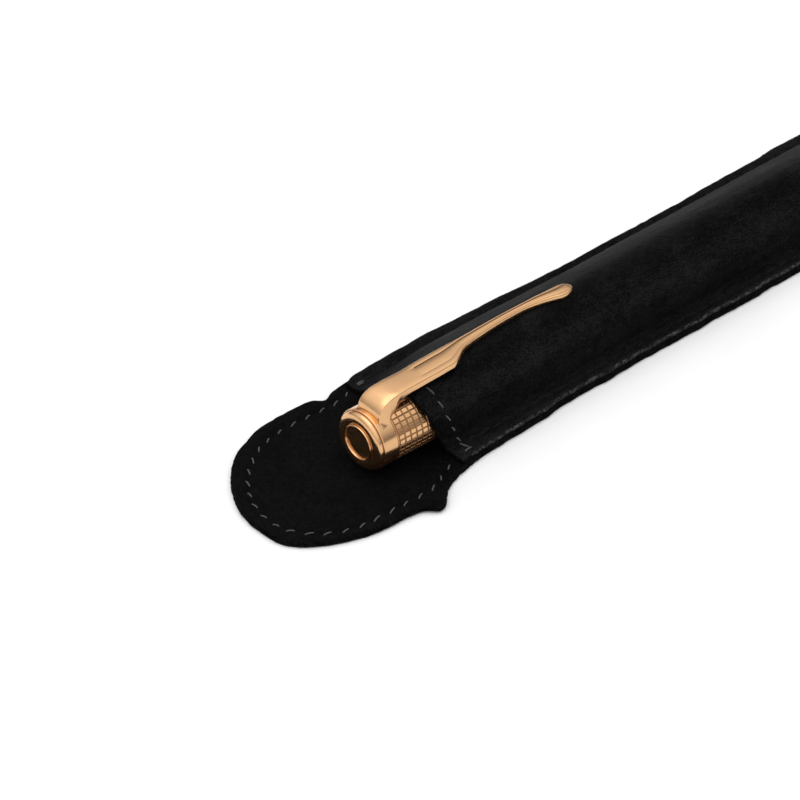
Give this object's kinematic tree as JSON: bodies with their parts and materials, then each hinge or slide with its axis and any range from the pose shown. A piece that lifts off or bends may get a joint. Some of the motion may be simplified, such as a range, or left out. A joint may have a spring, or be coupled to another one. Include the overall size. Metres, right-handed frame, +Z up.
{
  "type": "single pen sleeve",
  "caption": "Slim soft leather sleeve with a rounded tongue at its mouth; it holds one capped pen, whose clip hooks over the front panel.",
  "frame": {"origin": "middle of the pocket's mouth, on the underside of the back panel, the face that lies on the table", "axes": "+X along the sleeve into its closed end, with the tongue towards -X; +Y towards the far seam; +Z up, away from the table"},
  "size_m": [0.1674, 0.0338, 0.0146],
  "materials": {
    "leather": "black napped leather with a velvet-like surface",
    "lining": "black velvet-like inner leather",
    "thread": "dark grey twisted thread",
    "rose_gold": "polished rose-gold plate",
    "black_plastic": "smooth black",
    "steel": "fine brushed"
  },
  "bodies": {
    "sleeve": {"back_panel": "leather", "back_lining": "lining", "front_panel": "leather", "front_lining": "lining", "near_seam_thread": "thread", "far_seam_thread": "thread", "end_seam_thread": "thread", "mouth_thread": "thread", "back_tacks": "thread", "tongue_root_thread": "thread"},
    "tongue": {"tongue_panel": "leather", "tongue_lining": "lining", "tongue_thread": "thread"},
    "pen_barrel": {"pen_barrel_tube": "black_plastic", "pen_barrel_end": "rose_gold", "pen_grip_section": "black_plastic", "pen_section_ring": "rose_gold", "pen_refill_tube": "steel", "pen_refill_tip": "steel", "pen_refill_spring": "steel"},
    "pen_cap": {"pen_cap_tube": "rose_gold", "pen_cap_rim": "rose_gold", "pen_crown": "rose_gold", "pen_crown_ring": "rose_gold", "pen_crown_disc": "rose_gold", "pen_clip_ring": "rose_gold", "pen_cap_nut": "steel", "pen_inner_cap": "black_plastic"},
    "pen_clip": {"pen_clip": "rose_gold"}
  },
  "joints": [
    {"name": "tongue_fold", "type": "hinge", "parent": "sleeve", "child": "tongue", "pos_m": [-0.0171, 0, 0.0011], "axis": [0, 1, 0], "range_deg": [0, 100]},
    {"name": "pen_slide", "type": "slide", "parent": "sleeve", "child": "pen_barrel", "axis": [-1, 0, 0], "range_m": [0, 0.15]},
    {"name": "cap_pull", "type": "slide", "parent": "pen_barrel", "child": "pen_cap", "axis": [-1, 0, 0], "range_m": [0, 0.072]},
    {"name": "clip_flex", "type": "hinge", "parent": "pen_cap", "child": "pen_clip", "pos_m": [-0.0121, -0.00505, 0.0117], "axis": [0, -1, 0], "range_deg": [0, 4], "stiffness_Nm_per_rad": 1.2}
  ]
}
